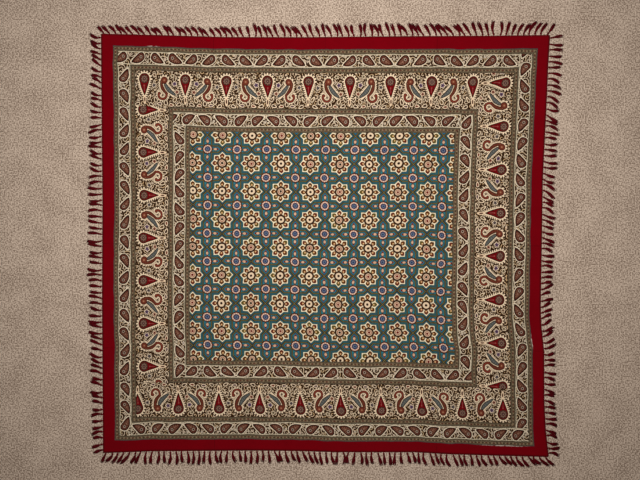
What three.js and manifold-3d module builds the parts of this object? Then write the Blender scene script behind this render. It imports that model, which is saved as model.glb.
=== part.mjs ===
// Block-printed cotton tablecloth with a knotted fringe on all four sides, laid out flat.
// Millimetres, +Z up. The origin is the middle of the whole outline, on the surface it lies on.
// X runs along the wider way of the cloth, and Y towards the edge that is at the top when seen from above.

import * as THREE from 'three';
import { mergeVertices } from 'three/addons/utils/BufferGeometryUtils.js';
import Module from 'manifold-3d';

const wasm = await Module();
wasm.setup();

// Driving dimensions of the cloth.
const CLOTH_WIDTH = 1030;
const CLOTH_DEPTH = 970;
const CLOTH_THICKNESS = 1.2;

// Driving dimensions of the fringe: a narrow woven tape along each edge, with twisted tassels in it.
const TAPE_GAP = 0.3;
const TAPE_WIDTH = 3.6;
const TAPE_THICKNESS = 1.2;
const TASSEL_ROOT_DEPTH = 1.8;
const TASSEL_PITCH = 13.4;
const FIRST_TASSEL = 7;
const LEAST_TIP_SPACING = 7.6;
const LENGTH_SPREAD = 0.1;
const LEAN_SPREAD = 9;
const BEND = 1.5;

// How far the laid cloth's edge stands out of a true rectangle, in mm, at a share of the way along it.
// Left and right run from bottom to top, bottom and top from left to right.
const EDGES = {
  left: [
    { at: 0, out: -2 }, { at: 0.13, out: -1.3 }, { at: 0.37, out: 0.3 },
    { at: 0.6, out: -0.8 }, { at: 0.85, out: 1.5 }, { at: 1, out: 2.7 },
  ],
  right: [
    { at: 0, out: 0 }, { at: 0.06, out: -6.4 }, { at: 0.13, out: -10 }, { at: 0.25, out: -10.4 },
    { at: 0.31, out: -17 }, { at: 0.36, out: -18.4 }, { at: 0.56, out: -15 }, { at: 0.66, out: -13.6 },
    { at: 0.82, out: -5.7 }, { at: 0.93, out: -1 }, { at: 1, out: 3.1 },
  ],
  bottom: [
    { at: 0, out: -4.6 }, { at: 0.11, out: -8.8 }, { at: 0.33, out: -10.4 }, { at: 0.45, out: -9.2 },
    { at: 0.52, out: -6.5 }, { at: 0.7, out: -6.5 }, { at: 0.78, out: -1.8 }, { at: 1, out: 4.6 },
  ],
  top: [
    { at: 0, out: 1.8 }, { at: 0.14, out: -1.8 }, { at: 0.27, out: -6 }, { at: 0.45, out: -6.5 },
    { at: 0.67, out: -4.2 }, { at: 0.87, out: -3 }, { at: 1, out: -1.2 },
  ],
};

// Creases left by folding the cloth away in four each way: soft ridges across it.
const CREASES = [
  { along: 'x', at: 0.25, height: 0.9, reach: 13 },
  { along: 'x', at: 0.5, height: 1.5, reach: 14 },
  { along: 'x', at: 0.75, height: 1.1, reach: 13 },
  { along: 'y', at: 0.25, height: 1.2, reach: 13 },
  { along: 'y', at: 0.5, height: 1.4, reach: 14 },
  { along: 'y', at: 0.75, height: 1, reach: 13 },
];
const CREASE_FADE = 30;

// Shallow waves where the drawn-in right edge and the corners leave some slack.
const WAVES = [
  { x: 452, y: -165, height: 2.6, reach: 46 },
  { x: 462, y: 40, height: 1.8, reach: 52 },
  { x: 430, y: 250, height: 1.5, reach: 60 },
  { x: -190, y: 436, height: 1.4, reach: 48 },
  { x: 60, y: -428, height: 1.6, reach: 50 },
  { x: -455, y: -120, height: 1.2, reach: 46 },
];
const WAVE_FADE = 34;
const GRID_CELLS = 18;

// Which way the tassels lean, in degrees from straight out, at a share of the way along each edge.
// A positive lean is towards the end of the edge that the share runs to.
const LEANS = {
  left: [
    { at: 0, lean: -18 }, { at: 0.07, lean: -16 }, { at: 0.12, lean: 5 }, { at: 0.22, lean: 18 },
    { at: 0.3, lean: 10 }, { at: 0.6, lean: 4 }, { at: 0.7, lean: 14 }, { at: 0.77, lean: -24 },
    { at: 0.82, lean: 20 }, { at: 0.93, lean: 34 }, { at: 1, lean: 8 },
  ],
  right: [
    { at: 0, lean: -4 }, { at: 0.08, lean: -8 }, { at: 0.15, lean: -20 }, { at: 0.22, lean: 0 },
    { at: 0.3, lean: 26 }, { at: 0.38, lean: 22 }, { at: 0.45, lean: -6 }, { at: 0.62, lean: -34 },
    { at: 0.72, lean: -8 }, { at: 0.84, lean: -28 }, { at: 0.93, lean: -8 }, { at: 1, lean: 4 },
  ],
  bottom: [
    { at: 0, lean: -40 }, { at: 0.06, lean: -32 }, { at: 0.11, lean: -8 }, { at: 0.27, lean: 8 },
    { at: 0.34, lean: 2 }, { at: 0.43, lean: 24 }, { at: 0.55, lean: -4 }, { at: 0.7, lean: 15 },
    { at: 0.82, lean: 22 }, { at: 0.92, lean: 42 }, { at: 1, lean: 46 },
  ],
  top: [
    { at: 0, lean: -52 }, { at: 0.1, lean: -46 }, { at: 0.28, lean: -44 }, { at: 0.35, lean: -18 },
    { at: 0.44, lean: -36 }, { at: 0.58, lean: -12 }, { at: 0.68, lean: -30 }, { at: 0.82, lean: -42 },
    { at: 0.88, lean: 2 }, { at: 0.94, lean: 32 }, { at: 1, lean: 30 },
  ],
};
const TASSEL_LENGTHS = { left: 30, right: 31, bottom: 27, top: 30 };

// A tassel's width and height on the surface at a share of its length: a thin twisted stem, then a tuft.
const TASSEL_SECTIONS = [
  { at: 0, width: 1.9, height: 0.9 },
  { at: 0.42, width: 2.1, height: 1.6 },
  { at: 0.8, width: 5.4, height: 3 },
  { at: 1, width: 3.4, height: 1.9 },
];
const RIDGE_SHARE = 0.45;

const CLOTH_COLOUR = 0x8f7d5c;
const FRINGE_COLOUR = 0x5c0a12;
const COTTON_ROUGHNESS = 0.9;

// Reads a table by straight lines between its rows.
function along(table, at, column) {
  const next = table.findIndex((row) => row.at >= at);
  if (next <= 0) {
    return table.at(next)[column];
  }
  const low = table[next - 1];
  const high = table[next];
  return THREE.MathUtils.mapLinear(at, low.at, high.at, low[column], high[column]);
}

// An even scatter from -1 to 1 that is the same each time.
function scatter(index, kind) {
  const wide = Math.sin(index * 12.9898 + kind * 78.233) * 43758.5453;
  return 2 * (wide - Math.floor(wide)) - 1;
}

function bump(distance, reach) {
  const share = Math.min(1, Math.abs(distance) / reach);
  return 0.5 + 0.5 * Math.cos(Math.PI * share);
}

// The place on the surface of the cloth's point at shares (u, v) of its width and depth.
function laid(u, v) {
  const left = along(EDGES.left, v, 'out');
  const right = along(EDGES.right, v, 'out');
  const bottom = along(EDGES.bottom, u, 'out');
  const top = along(EDGES.top, u, 'out');
  return new THREE.Vector2(
    (u - 0.5) * CLOTH_WIDTH + THREE.MathUtils.lerp(-left, right, u),
    (v - 0.5) * CLOTH_DEPTH + THREE.MathUtils.lerp(-bottom, top, v),
  );
}

// How far the cloth lifts off the surface at shares (u, v). It comes down to the surface at its edges.
function lift(u, v) {
  const x = (u - 0.5) * CLOTH_WIDTH;
  const y = (v - 0.5) * CLOTH_DEPTH;
  const toEdge = Math.min(CLOTH_WIDTH / 2 - Math.abs(x), CLOTH_DEPTH / 2 - Math.abs(y));
  let creased = 0;
  for (const crease of CREASES) {
    const place = crease.along === 'x' ? y - (crease.at - 0.5) * CLOTH_DEPTH : x - (crease.at - 0.5) * CLOTH_WIDTH;
    creased = Math.max(creased, crease.height * bump(place, crease.reach));
  }
  let waved = 0;
  for (const wave of WAVES) {
    waved += wave.height * bump(Math.hypot(x - wave.x, y - wave.y), 2 * wave.reach);
  }
  return creased * Math.min(1, toEdge / CREASE_FADE) + waved * Math.min(1, toEdge / WAVE_FADE);
}

// Shares of the way across the cloth where its grid has a line: at the rows of the two edges that run
// that way, at the foot and top of each crease, and evenly spaced between.
function gridShares(edgeNames, creaseDirection, size) {
  const shares = edgeNames.flatMap((name) => EDGES[name].map((row) => row.at));
  for (const crease of CREASES.filter((row) => row.along === creaseDirection)) {
    shares.push(crease.at - crease.reach / size, crease.at, crease.at + crease.reach / size);
  }
  for (let i = 1; i < GRID_CELLS; i += 1) {
    const even = i / GRID_CELLS;
    if (shares.every((share) => Math.abs(share - even) > 0.4 / GRID_CELLS)) {
      shares.push(even);
    }
  }
  return [...new Set(shares)].sort((a, b) => a - b);
}

const SHARES_ACROSS = gridShares(['bottom', 'top'], 'y', CLOTH_WIDTH);
const SHARES_UP = gridShares(['left', 'right'], 'x', CLOTH_DEPTH);

// A box of cells with merged corners, each of whose points the function place then moves.
function shapedBox(xCells, yCells, place) {
  const box = new THREE.BoxGeometry(1, 1, 1, xCells, yCells, 1);
  box.deleteAttribute('normal');
  box.deleteAttribute('uv');
  const geometry = mergeVertices(box);
  const position = geometry.getAttribute('position');
  const point = new THREE.Vector3();
  for (let i = 0; i < position.count; i += 1) {
    point.fromBufferAttribute(position, i);
    const xIndex = Math.round((point.x + 0.5) * xCells);
    const yIndex = Math.round((point.y + 0.5) * yCells);
    place(xIndex, yIndex, point.z > 0, point);
    position.setXYZ(i, point.x, point.y, point.z);
  }
  return geometry;
}

function clothGeometry() {
  return shapedBox(SHARES_ACROSS.length - 1, SHARES_UP.length - 1, (xIndex, yIndex, isTop, point) => {
    const u = SHARES_ACROSS[xIndex];
    const v = SHARES_UP[yIndex];
    const flat = laid(u, v);
    point.set(flat.x, flat.y, lift(u, v) + (isTop ? CLOTH_THICKNESS : 0));
  });
}

// A side of the cloth: the point of its edge at a share of the way along, and the ways out and along.
const SIDES = {
  left: { edge: (at) => laid(0, at), out: new THREE.Vector2(-1, 0), way: new THREE.Vector2(0, 1), size: CLOTH_DEPTH },
  right: { edge: (at) => laid(1, at), out: new THREE.Vector2(1, 0), way: new THREE.Vector2(0, 1), size: CLOTH_DEPTH },
  bottom: { edge: (at) => laid(at, 0), out: new THREE.Vector2(0, -1), way: new THREE.Vector2(1, 0), size: CLOTH_WIDTH },
  top: { edge: (at) => laid(at, 1), out: new THREE.Vector2(0, 1), way: new THREE.Vector2(1, 0), size: CLOTH_WIDTH },
};

// The woven tape outside one edge. It turns its cells to suit the side, so that its faces point out.
function tapeGeometry(sideName) {
  const side = SIDES[sideName];
  const shares = side.way.x > 0 ? SHARES_ACROSS : SHARES_UP;
  const isMirrored = side.way.cross(side.out) < 0;
  return shapedBox(shares.length - 1, 1, (xIndex, yIndex, isTop, point) => {
    const isOuter = (yIndex === 1) !== isMirrored;
    const edge = side.edge(shares[xIndex]);
    edge.addScaledVector(side.out, TAPE_GAP + (isOuter ? TAPE_WIDTH : 0));
    point.set(edge.x, edge.y, isTop ? TAPE_THICKNESS : 0);
  });
}

// The tassels of one side, from the start of the edge to its end: root, length out and sideways reach.
// Each tip stays a little further along than the one before it, so that no two tassels meet.
function tassels(sideName) {
  const side = SIDES[sideName];
  const count = Math.round((side.size - 2 * FIRST_TASSEL) / TASSEL_PITCH) + 1;
  const kind = Object.keys(SIDES).indexOf(sideName);
  const made = [];
  let tipBefore = -Infinity;
  for (let i = 0; i < count; i += 1) {
    const place = THREE.MathUtils.lerp(FIRST_TASSEL, side.size - FIRST_TASSEL, i / (count - 1));
    const at = place / side.size;
    const length = TASSEL_LENGTHS[sideName] * (1 + LENGTH_SPREAD * scatter(i, kind));
    const lean = THREE.MathUtils.degToRad(along(LEANS[sideName], at, 'lean') + LEAN_SPREAD * scatter(i, kind + 7));
    const tip = Math.max(place + length * Math.sin(lean), tipBefore + LEAST_TIP_SPACING);
    tipBefore = tip;
    made.push({ at, outward: length * Math.cos(lean), sideways: tip - place });
  }
  return made;
}

// One tassel on the surface: straight out of the tape, then bending over towards its tip.
function tasselGeometry(side, tassel) {
  const isMirrored = side.way.cross(side.out) < 0;
  const root = side.edge(tassel.at).addScaledVector(side.out, TAPE_GAP + TAPE_WIDTH - TASSEL_ROOT_DEPTH);
  return shapedBox(1, TASSEL_SECTIONS.length - 1, (xIndex, yIndex, isTop, point) => {
    const section = TASSEL_SECTIONS[yIndex];
    const middle = root.clone();
    middle.addScaledVector(side.out, section.at * (tassel.outward + TASSEL_ROOT_DEPTH));
    middle.addScaledVector(side.way, section.at ** BEND * tassel.sideways);
    const slope = (BEND * section.at ** (BEND - 1) * tassel.sideways) / tassel.outward;
    const across = side.way.clone().addScaledVector(side.out, -slope).normalize();
    const isFarSide = (xIndex === 1) !== isMirrored;
    const half = (section.width / 2) * (isTop ? RIDGE_SHARE : 1);
    middle.addScaledVector(across, isFarSide ? half : -half);
    point.set(middle.x, middle.y, isTop ? section.height : 0);
  });
}

function toSolid(geometry) {
  return new wasm.Manifold(new wasm.Mesh({
    numProp: 3,
    vertProperties: geometry.getAttribute('position').array,
    triVerts: new Uint32Array(geometry.getIndex().array),
  }));
}

function toGeometry(solid) {
  const mesh = solid.getMesh();
  const geometry = new THREE.BufferGeometry();
  geometry.setAttribute('position', new THREE.BufferAttribute(mesh.vertProperties, 3));
  geometry.setIndex(new THREE.BufferAttribute(mesh.triVerts, 1));
  return geometry;
}

// The tape of one side with all its tassels fused into it.
function fringeGeometry(sideName) {
  let solid = toSolid(tapeGeometry(sideName));
  for (const tassel of tassels(sideName)) {
    solid = solid.add(toSolid(tasselGeometry(SIDES[sideName], tassel)));
  }
  return toGeometry(solid);
}

function addPiece(group, name, geometry, colour) {
  const material = new THREE.MeshStandardMaterial({ color: colour, roughness: COTTON_ROUGHNESS, metalness: 0 });
  const piece = new THREE.Mesh(geometry, material);
  piece.name = name;
  group.add(piece);
}

const tablecloth = new THREE.Group();
addPiece(tablecloth, 'cloth', clothGeometry(), CLOTH_COLOUR);
for (const sideName of Object.keys(SIDES)) {
  addPiece(tablecloth, `fringe_${sideName}`, fringeGeometry(sideName), FRINGE_COLOUR);
}

// The origin is the middle of everything on the surface, fringe included.
const middle = new THREE.Box3().setFromObject(tablecloth).getCenter(new THREE.Vector3());
tablecloth.position.set(-middle.x, -middle.y, 0);

export default tablecloth;
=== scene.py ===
import math

import bpy
import numpy as np
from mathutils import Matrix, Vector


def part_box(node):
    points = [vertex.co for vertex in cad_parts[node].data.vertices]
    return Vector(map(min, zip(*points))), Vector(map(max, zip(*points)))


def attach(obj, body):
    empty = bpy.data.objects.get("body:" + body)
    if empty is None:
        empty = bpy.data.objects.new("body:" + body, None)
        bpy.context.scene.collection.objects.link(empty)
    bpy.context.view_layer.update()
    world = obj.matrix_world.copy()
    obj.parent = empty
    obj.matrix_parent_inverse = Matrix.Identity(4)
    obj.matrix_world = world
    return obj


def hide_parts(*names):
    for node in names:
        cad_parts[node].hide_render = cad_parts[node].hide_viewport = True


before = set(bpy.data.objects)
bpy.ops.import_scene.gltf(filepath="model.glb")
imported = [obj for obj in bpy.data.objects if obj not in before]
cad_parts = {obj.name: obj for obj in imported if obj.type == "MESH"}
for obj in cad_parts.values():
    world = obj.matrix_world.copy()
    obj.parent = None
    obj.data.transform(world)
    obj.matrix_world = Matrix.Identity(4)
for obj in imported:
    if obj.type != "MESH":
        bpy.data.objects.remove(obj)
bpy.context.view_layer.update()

# The view: the cloth is seen straight from above, a little to one side of its middle.
# Metres throughout, with the middle of the whole outline at the origin and the floor at z = 0.

VIEW_WIDTH = 1.4797
VIEW_MIDDLE = (-0.0128, 0.0101)
CAMERA_HEIGHT = 2.6
SENSOR_WIDTH = 36.0

camera_data = bpy.data.cameras.new("view")
camera_data.sensor_width = SENSOR_WIDTH
camera_data.lens = SENSOR_WIDTH * CAMERA_HEIGHT / VIEW_WIDTH
camera = bpy.data.objects.new("view", camera_data)
camera.location = (*VIEW_MIDDLE, CAMERA_HEIGHT)
bpy.context.scene.collection.objects.link(camera)
bpy.context.scene.camera = camera
bpy.context.scene.view_settings.view_transform = "Standard"

# The light: one soft panel over the upper half of the cloth and a weak even fill,
# so the cloth is brightest near its top edge and falls off towards the sides and the bottom.

PANEL_WIDTH, PANEL_DEPTH = 0.45, 0.3
PANEL_PLACE = (-0.02, 0.23, 1.17)
PANEL_WATTS = 13.2
FILL_STRENGTH = 0.15

panel_data = bpy.data.lights.new("soft panel", "AREA")
panel_data.shape = "RECTANGLE"
panel_data.size = PANEL_WIDTH
panel_data.size_y = PANEL_DEPTH
panel_data.energy = PANEL_WATTS
panel = bpy.data.objects.new("soft panel", panel_data)
panel.location = PANEL_PLACE
panel.visible_camera = False
bpy.context.scene.collection.objects.link(panel)

surroundings = bpy.data.worlds.new("surroundings")
surroundings.use_nodes = True
surroundings.node_tree.nodes["Background"].inputs["Color"].default_value = (1.0, 1.0, 1.0, 1.0)
surroundings.node_tree.nodes["Background"].inputs["Strength"].default_value = FILL_STRENGTH
bpy.context.scene.world = surroundings

# The floor: plain pale plaster with a fine mottle, on which the cloth is spread.
# It is only the setting.

FLOOR_REACH = 4.0
FLOOR_DARK = (142, 119, 101)
FLOOR_LIGHT = (228, 203, 180)
FLOOR_GRAIN, FLOOR_CLOUD = 3.2, 60.0
FLOOR_RELIEF = 0.0008
DULL_GLOSS = 0.03
SHEEN_SPREAD = 0.6


def linear(colour):
    """A colour as a dyer's chart gives it, 0 to 255, as the renderer's own linear colour."""
    shares = [part / 255 for part in colour]
    return (*[s / 12.92 if s <= 0.04045 else ((s + 0.055) / 1.055) ** 2.4 for s in shares], 1.0)


class Amount:
    """A number, colour or vector that varies over a surface: one output socket of its material."""

    def __init__(self, socket):
        self.socket = socket

    def node(self, kind, settings, inputs, output=0):
        """A further node in the same material: its type, settings, and the values or links it takes."""
        tree = self.socket.id_data
        made = tree.nodes.new(kind)
        for name, value in settings.items():
            setattr(made, name, value)
        for name, value in inputs.items():
            if isinstance(value, Amount):
                tree.links.new(value.socket, made.inputs[name])
            elif isinstance(value, tuple) and made.inputs[name].type == "RGBA":
                made.inputs[name].default_value = linear(value)
            else:
                made.inputs[name].default_value = value
        return Amount(made.outputs[output])

    def math(self, operation, *others):
        inputs = dict(enumerate((self, *others)))
        return self.node("ShaderNodeMath", {"operation": operation}, inputs)

    def __add__(self, other):
        return self.math("ADD", other)

    __radd__ = __add__

    def __sub__(self, other):
        return self.math("SUBTRACT", other)

    def __rsub__(self, other):
        return self.node("ShaderNodeMath", {"operation": "SUBTRACT"}, {0: other, 1: self})

    def __mul__(self, other):
        return self.math("MULTIPLY", other)

    __rmul__ = __mul__

    def __truediv__(self, other):
        return self.math("DIVIDE", other)

    def __mod__(self, other):
        return self.math("FLOORED_MODULO", other)

    def __neg__(self):
        return self.math("MULTIPLY", -1.0)

    def __abs__(self):
        return self.math("ABSOLUTE")

    def __lt__(self, other):
        return self.math("LESS_THAN", other)

    def __gt__(self, other):
        return self.math("GREATER_THAN", other)

    def least(self, other):
        return self.math("MINIMUM", other)

    def most(self, other):
        return self.math("MAXIMUM", other)

    def ramp(self, low, high):
        """Nought up to low and one from high on, and evenly between."""
        return self.node("ShaderNodeMapRange", {}, {"Value": self, "From Min": low, "From Max": high})


def finish_of(name, roughness, sheen):
    """A new matt finish, and its surface shader."""
    material = bpy.data.materials.new(name)
    material.use_nodes = True
    shader = material.node_tree.nodes["Principled BSDF"]
    shader.inputs["Roughness"].default_value = roughness
    shader.inputs["Specular IOR Level"].default_value = DULL_GLOSS
    shader.inputs["Sheen Weight"].default_value = sheen
    shader.inputs["Sheen Roughness"].default_value = SHEEN_SPREAD
    return material, shader


def feed(shader, name, amount):
    shader.id_data.links.new(amount.socket, shader.inputs[name])


def dyed(base, mask, colour):
    """The base colour, with another colour laid over it where the mask is one."""
    settings = {"data_type": "RGBA"}
    return mask.node("ShaderNodeMix", settings, {0: mask, 6: base, 7: colour}, 2)


def glazed(base, colour):
    """The base colour as it shows through a thin wash of another."""
    settings = {"data_type": "RGBA", "blend_type": "MULTIPLY"}
    return base.node("ShaderNodeMix", settings, {0: 1.0, 6: base, 7: colour}, 2)


def shaded(colour, factor):
    """A colour made lighter or darker by a factor."""
    return factor.node("ShaderNodeVectorMath", {"operation": "SCALE"}, {0: colour, "Scale": factor})


def mottle(x, y, size, detail=1.0, kind=0):
    """An uneven cloudiness, 0 to 1, of patches about as big as size."""
    place = x.node("ShaderNodeCombineXYZ", {}, {0: x + 731.0 * kind, 1: y})
    inputs = {"Vector": place, "Scale": 1 / size, "Detail": detail}
    return x.node("ShaderNodeTexNoise", {"noise_dimensions": "2D"}, inputs)


def place_of(shader, name):
    """The three measures that a mesh carries at each point under a name."""
    start = Amount(shader.outputs[0])
    place = start.node("ShaderNodeAttribute", {"attribute_name": name}, {}, "Vector")
    return [start.node("ShaderNodeSeparateXYZ", {}, {0: place}, axis) for axis in "XYZ"]


def bumped(shader, height, distance):
    """Gives a shader small relief from a height, of which one is distance metres."""
    inputs = {"Height": height, "Distance": distance, "Strength": 1.0}
    feed(shader, "Normal", height.node("ShaderNodeBump", {}, inputs))


def mesh_object(name, points, faces, **measures):
    """A new piece from points in metres, with named measures carried at each point."""
    mesh = bpy.data.meshes.new(name)
    mesh.from_pydata(points, [], faces)
    mesh.polygons.foreach_set("use_smooth", [True] * len(mesh.polygons))
    for measure, values in measures.items():
        layer = mesh.attributes.new(measure, "FLOAT_VECTOR", "POINT")
        layer.data.foreach_set("vector", np.asarray(values, dtype=np.float32).ravel())
    mesh.update()
    piece = bpy.data.objects.new(name, mesh)
    bpy.context.scene.collection.objects.link(piece)
    return piece


floor_corners = [(x, y) for y in (-FLOOR_REACH, FLOOR_REACH) for x in (-FLOOR_REACH, FLOOR_REACH)]
floor = mesh_object(
    "floor",
    [(x, y, 0.0) for x, y in floor_corners],
    [(0, 1, 3, 2)],
    lie=[(x * 1000, y * 1000, 0.0) for x, y in floor_corners],
)
plaster, shader = finish_of("pale plaster", 0.85, 0.0)
x, y, _ = place_of(shader, "lie")
speckle = mottle(x, y, FLOOR_GRAIN, 2.0, 1) * 0.85 + mottle(x, y, FLOOR_CLOUD, 3.0, 2) * 0.15
feed(shader, "Base Color", dyed(FLOOR_DARK, speckle.ramp(0.36, 0.63), FLOOR_LIGHT))
bumped(shader, speckle, FLOOR_RELIEF)
floor.data.materials.append(plaster)

# The cloth: one piece of plain-woven cotton, dyed dark red along its edges and printed all over the
# rest from carved wooden blocks. It was folded away in four each way, and lies flat with its creases.

CLOTH_WIDTH = 1030.0
CLOTH_DEPTH = 970.0
CLOTH_THICKNESS = 0.9
CLOTH_CLEARANCE = 0.15

# How far the laid edge stands out of a true rectangle, in mm, at a share of the way along it.
EDGES = {
    "left": {
        "at": (0, 0.13, 0.37, 0.6, 0.85, 1),
        "out": (-2, -1.3, 0.3, -0.8, 1.5, 2.7),
    },
    "right": {
        "at": (0, 0.06, 0.13, 0.25, 0.31, 0.36, 0.56, 0.66, 0.82, 0.93, 1),
        "out": (0, -6.4, -10, -10.4, -17, -18.4, -15, -13.6, -5.7, -1, 3.1),
    },
    "bottom": {
        "at": (0, 0.11, 0.33, 0.45, 0.52, 0.7, 0.78, 1),
        "out": (-4.6, -8.8, -10.4, -9.2, -6.5, -6.5, -1.8, 4.6),
    },
    "top": {
        "at": (0, 0.14, 0.27, 0.45, 0.67, 0.87, 1),
        "out": (1.8, -1.8, -6, -6.5, -4.2, -3, -1.2),
    },
}

# Creases: which way each runs, the share of the cloth it crosses at, and its ridge's height and reach.
CREASES = (
    {"along": "x", "at": 0.25, "height": 0.9, "reach": 13},
    {"along": "x", "at": 0.5, "height": 1.5, "reach": 14},
    {"along": "x", "at": 0.75, "height": 1.1, "reach": 13},
    {"along": "y", "at": 0.25, "height": 1.2, "reach": 13},
    {"along": "y", "at": 0.5, "height": 1.4, "reach": 14},
    {"along": "y", "at": 0.75, "height": 1.0, "reach": 13},
)
CREASE_NIP, CREASE_NIP_REACH = 0.5, 2.6

# The rim rides up a little on the fringe's tape, and the waves and ripples die down towards it.
TAPE_LIFT, TAPE_LIFT_REACH = 0.85, 10
RIPPLE_SETTLE, WAVE_SETTLE = 30, 34
RIPPLE_MEAN, RIPPLE_HEIGHT = 0.35, 0.2

# Shallow waves near the edges, most where the drawn-in right edge leaves some slack.
WAVES = (
    {"x": 452, "y": -165, "height": 2.6, "reach": 92},
    {"x": 462, "y": 40, "height": 1.8, "reach": 104},
    {"x": 430, "y": 250, "height": 1.5, "reach": 120},
    {"x": -190, "y": 436, "height": 1.4, "reach": 96},
    {"x": 60, "y": -428, "height": 1.6, "reach": 100},
    {"x": -455, "y": -120, "height": 1.2, "reach": 92},
)


def edge_out(side, at):
    return np.interp(at, EDGES[side]["at"], EDGES[side]["out"])


def laid(across, up):
    """Where the cloth's point at shares of its width and depth lies, in mm from its middle."""
    left, right = edge_out("left", up), edge_out("right", up)
    bottom, top = edge_out("bottom", across), edge_out("top", across)
    x = (across - 0.5) * CLOTH_WIDTH - left * (1 - across) + right * across
    y = (up - 0.5) * CLOTH_DEPTH - bottom * (1 - up) + top * up
    return x, y


def swell(distance, reach):
    return 0.5 + 0.5 * np.cos(np.pi * np.minimum(1, np.abs(distance) / reach))


def lift(across, up):
    """How far the laid cloth stands off the floor, in mm."""
    x, y = (across - 0.5) * CLOTH_WIDTH, (up - 0.5) * CLOTH_DEPTH
    to_edge = np.minimum(CLOTH_WIDTH / 2 - np.abs(x), CLOTH_DEPTH / 2 - np.abs(y))
    creased, nipped, waved = 0.0, 0.0, 0.0
    for crease in CREASES:
        runs_across = crease["along"] == "x"
        size = CLOTH_DEPTH if runs_across else CLOTH_WIDTH
        off = (y if runs_across else x) - (crease["at"] - 0.5) * size
        creased = np.maximum(creased, crease["height"] * swell(off, crease["reach"]))
        nipped = np.maximum(nipped, CREASE_NIP * swell(off, CREASE_NIP_REACH))
    for wave in WAVES:
        off = np.hypot(x - wave["x"], y - wave["y"])
        waved = waved + wave["height"] * swell(off, wave["reach"])
    across_way, up_way = x / 31 + 2 * np.sin(y / 83), y / 37 + 1.7 * np.sin(x / 71)
    ripple = RIPPLE_MEAN + RIPPLE_HEIGHT * np.sin(across_way) * np.sin(up_way)
    worked = (creased + ripple - nipped) * np.clip(to_edge / RIPPLE_SETTLE, 0, 1)
    slack = waved * np.clip(to_edge / WAVE_SETTLE, 0, 1)
    return worked + slack + TAPE_LIFT * swell(to_edge, TAPE_LIFT_REACH)


MESH_CELL = 5.0
CREASE_LINES = (-5.4, -2.6, -1.2, 0, 1.2, 2.6, 5.4)
CREASE_LINES_REACH = 6.5


def grid_shares(along, size):
    """Shares for the cloth's mesh lines: evenly spaced, and closer together at each crease."""
    steps = set(np.linspace(0, 1, int(size / MESH_CELL) + 1))
    for crease in CREASES:
        if crease["along"] == along:
            steps -= {s for s in steps if abs(s - crease["at"]) * size < CREASE_LINES_REACH}
            steps |= {crease["at"] + off / size for off in CREASE_LINES}
    return np.array(sorted(steps))


shares_across = grid_shares("y", CLOTH_WIDTH)
shares_up = grid_shares("x", CLOTH_DEPTH)
across, up = np.meshgrid(shares_across, shares_up)
x, y = laid(across, up)
z = lift(across, up) + CLOTH_CLEARANCE

# The laid shape is drawn about the cloth's own middle, and the frame's origin is that of the whole.
cloth_low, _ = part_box("cloth")
shift = (cloth_low[0] * 1000 - x.min(), cloth_low[1] * 1000 - y.min())

rows, columns = across.shape
flat = np.stack([(across - 0.5) * CLOTH_WIDTH, (up - 0.5) * CLOTH_DEPTH, 0 * up], axis=-1)
flat = flat.reshape(-1, 3)
face = np.stack([x + shift[0], y + shift[1], z + CLOTH_THICKNESS], axis=-1).reshape(-1, 3) / 1000
back = np.stack([x + shift[0], y + shift[1], z], axis=-1).reshape(-1, 3) / 1000
number = np.arange(rows * columns).reshape(rows, columns)
quads = np.stack([number[:-1, :-1], number[:-1, 1:], number[1:, 1:], number[1:, :-1]], axis=-1)
quads = quads.reshape(-1, 4)
rim = np.concatenate([number[0, :-1], number[:-1, -1], number[-1, :0:-1], number[:0:-1, 0]])
rim_next = np.roll(rim, -1)
under = rows * columns
sides = np.stack([rim + under, rim_next + under, rim_next, rim], axis=-1)
cloth = mesh_object(
    "printed_cloth",
    np.concatenate([face, back]).tolist(),
    np.concatenate([quads, quads[:, ::-1] + under, sides]).tolist(),
    flat=np.concatenate([flat, flat]),
)

# The print: dyes pressed on from carved wooden blocks, the dark outlines first and then each colour
# from a block of its own, so the edges bleed a little and the rows wander. Every measure below is in
# mm on the flat cloth, and every colour as a dyer's chart gives it, 0 to 255.

BLEED = 0.6
CREAM = (244, 216, 182)
PALE = (252, 229, 197)
OCHRE = (214, 172, 108)
DARK = (48, 27, 11)


def ink(distance):
    """One inside a shape and nought outside, with the slight spread of dye in cotton at its edge."""
    return distance.ramp(BLEED / 2, -BLEED / 2)


def stroke(distance, width):
    return ink(abs(distance) - width / 2)


def layered(colour, edge, layers):
    """Inks laid one over the other, each as far out from a shape's edge as its number says."""
    for out, tone in layers:
        colour = dyed(colour, ink(edge - out), tone)
    return colour


def length(x, y):
    return (x * x + y * y).math("SQRT")


def repeat(along, first, pitch):
    """How far a place is from the nearest of evenly spaced motifs."""
    return (along - first).math("WRAP", -pitch / 2, pitch / 2)


def which(along, first, pitch):
    """The number of the nearest of evenly spaced motifs."""
    return ((along - first) / pitch + 0.5).math("FLOOR")


def mirrored(along, pitch):
    """Runs from nought to the pitch and back again."""
    return along.math("PINGPONG", pitch)


def chance(column, row):
    """A number of its own, 0 to 1, for each pair of whole numbers."""
    place = column.node("ShaderNodeCombineXYZ", {}, {0: column, 1: row})
    return column.node("ShaderNodeTexWhiteNoise", {"noise_dimensions": "2D"}, {"Vector": place})


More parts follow.
